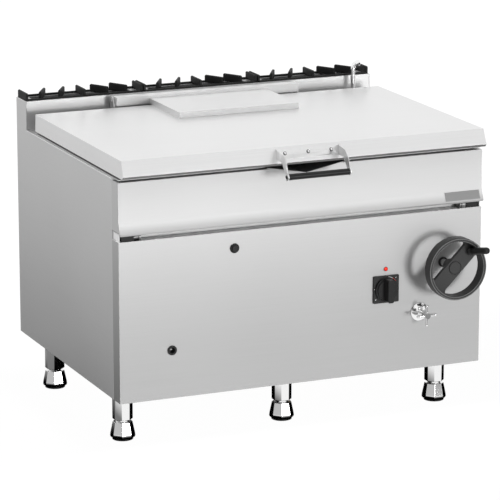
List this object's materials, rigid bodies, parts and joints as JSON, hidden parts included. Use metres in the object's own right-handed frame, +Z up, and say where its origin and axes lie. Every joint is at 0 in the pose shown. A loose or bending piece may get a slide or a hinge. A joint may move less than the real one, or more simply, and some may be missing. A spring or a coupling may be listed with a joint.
{
  "type": "tilting bratt pan",
  "caption": "Floor-standing gas bratt pan: a wide pan under a hinged lid tilts forward about a front axis, driven by a handwheel, to pour over a lip.",
  "frame": {"origin": "on the floor, in the middle of the machine's whole width and length", "axes": "+X to the machine's right, along its width; +Y to its rear; +Z up"},
  "size_m": [1.2, 1.0714, 0.982],
  "materials": {
    "stainless_sheet": "satin brushed",
    "lid_sheet": "satin brushed",
    "frame_steel": "plain",
    "pan_steel": "fine brushed",
    "polished_chrome": "polished",
    "cast_iron_black": "matt",
    "gear_steel": "machined",
    "wheel_bronze": "machined",
    "black_moulding": "semi-gloss",
    "black_plate": "matt",
    "black_rubber": "matt",
    "red_lens": "glossy",
    "mineral_wool": "fibrous",
    "badge_metal": "satin"
  },
  "bodies": {
    "cabinet": {"base_frame": "frame_steel", "leg_sleeves": "polished_chrome", "leg_feet": "polished_chrome", "foot_pads": "black_rubber", "side_panel_left": "stainless_sheet", "side_panel_right": "stainless_sheet", "front_panel": "stainless_sheet", "rear_panel": "stainless_sheet", "frame_posts": "frame_steel", "bearing_blocks": "black_plate", "rear_deck": "stainless_sheet", "flue_housing": "stainless_sheet", "flue_grates": "cast_iron_black", "burner_chamber": "frame_steel", "burner_tubes": "cast_iron_black", "gas_manifold": "wheel_bronze", "gas_valve": "wheel_bronze", "gas_pipe": "wheel_bronze", "igniter_body": "black_moulding", "control_plate": "black_plate", "lamp_body": "black_plate", "lamp_lens": "red_lens", "valve_rosette": "polished_chrome", "water_pipe": "wheel_bronze", "tap_base": "polished_chrome", "sight_grommet": "black_rubber", "drive_bracket": "frame_steel", "spindle_bush": "black_plate"},
    "pan": {"pan_well": "pan_steel", "pan_rim": "stainless_sheet", "pan_insulation": "mineral_wool", "pan_mantle": "frame_steel", "pan_apron": "stainless_sheet", "badge_plate": "badge_metal", "pour_spout": "stainless_sheet", "trunnions": "frame_steel", "tilt_quadrant": "gear_steel", "hinge_brackets": "stainless_sheet", "hinge_shaft": "frame_steel", "lid_springs": "gear_steel"},
    "lid": {"lid_shell": "lid_sheet", "lid_liner": "lid_sheet", "lid_seal": "black_rubber", "hinge_leaf": "stainless_sheet", "handle_bracket": "frame_steel", "handle_bar": "black_moulding", "handle_bolts": "frame_steel"},
    "cross_shaft": {"cross_shaft": "frame_steel", "worm_wheel": "wheel_bronze", "pinion": "gear_steel"},
    "handwheel": {"worm_spindle": "frame_steel", "worm_thread": "gear_steel", "handwheel": "black_moulding", "hub_cap": "black_moulding", "grip_pin": "frame_steel"},
    "crank_grip": {"crank_grip": "black_moulding"},
    "control_knob": {"control_knob": "black_moulding"},
    "valve_handle": {"valve_handle": "polished_chrome"},
    "swan_neck": {"swan_neck": "polished_chrome"},
    "igniter_button": {"igniter_button": "black_moulding"}
  },
  "joints": [
    {"name": "pan_tilt", "type": "hinge", "parent": "cabinet", "child": "pan", "pos_m": [0, -0.35025, 0.668], "axis": [1, 0, 0], "range_deg": [0, 75]},
    {"name": "lid_hinge", "type": "hinge", "parent": "pan", "child": "lid", "pos_m": [0, 0.41675, 0.921], "axis": [-1, 0, 0], "range_deg": [0, 75]},
    {"name": "cross_shaft_spin", "type": "hinge", "parent": "cabinet", "child": "cross_shaft", "pos_m": [0.5, 0.08827, 0.567], "axis": [-1, 0, 0], "range_deg": [0, 600]},
    {"name": "handwheel_spin", "type": "hinge", "parent": "cabinet", "child": "handwheel", "pos_m": [0.47, -0.36425, 0.494], "axis": [0, 1, 0], "range_deg": [0, 19200]},
    {"name": "crank_grip_spin", "type": "hinge", "parent": "handwheel", "child": "crank_grip", "pos_m": [0.51858, -0.44725, 0.54258], "axis": [0.2067, -0.9563, 0.2067], "continuous": true},
    {"name": "knob_turn", "type": "hinge", "parent": "cabinet", "child": "control_knob", "pos_m": [0.2745, -0.36425, 0.428], "axis": [0, -1, 0], "range_deg": [0, 270]},
    {"name": "valve_turn", "type": "hinge", "parent": "cabinet", "child": "valve_handle", "pos_m": [0.391, -0.36425, 0.343], "axis": [0, -1, 0], "range_deg": [0, 540]},
    {"name": "tap_swivel", "type": "hinge", "parent": "cabinet", "child": "swan_neck", "pos_m": [0.524, 0.41175, 0.9], "axis": [0, 0, 1], "range_deg": [-55, 130]},
    {"name": "igniter_press", "type": "slide", "parent": "cabinet", "child": "igniter_button", "axis": [0, 1, 0], "range_m": [0, 0.005], "stiffness_N_per_m": 800, "springref_m": -0.002}
  ],
  "couplings": [
    {"joint": "cross_shaft_spin", "follows": "pan_tilt", "ratio": 8},
    {"joint": "handwheel_spin", "follows": "pan_tilt", "ratio": 256}
  ]
}
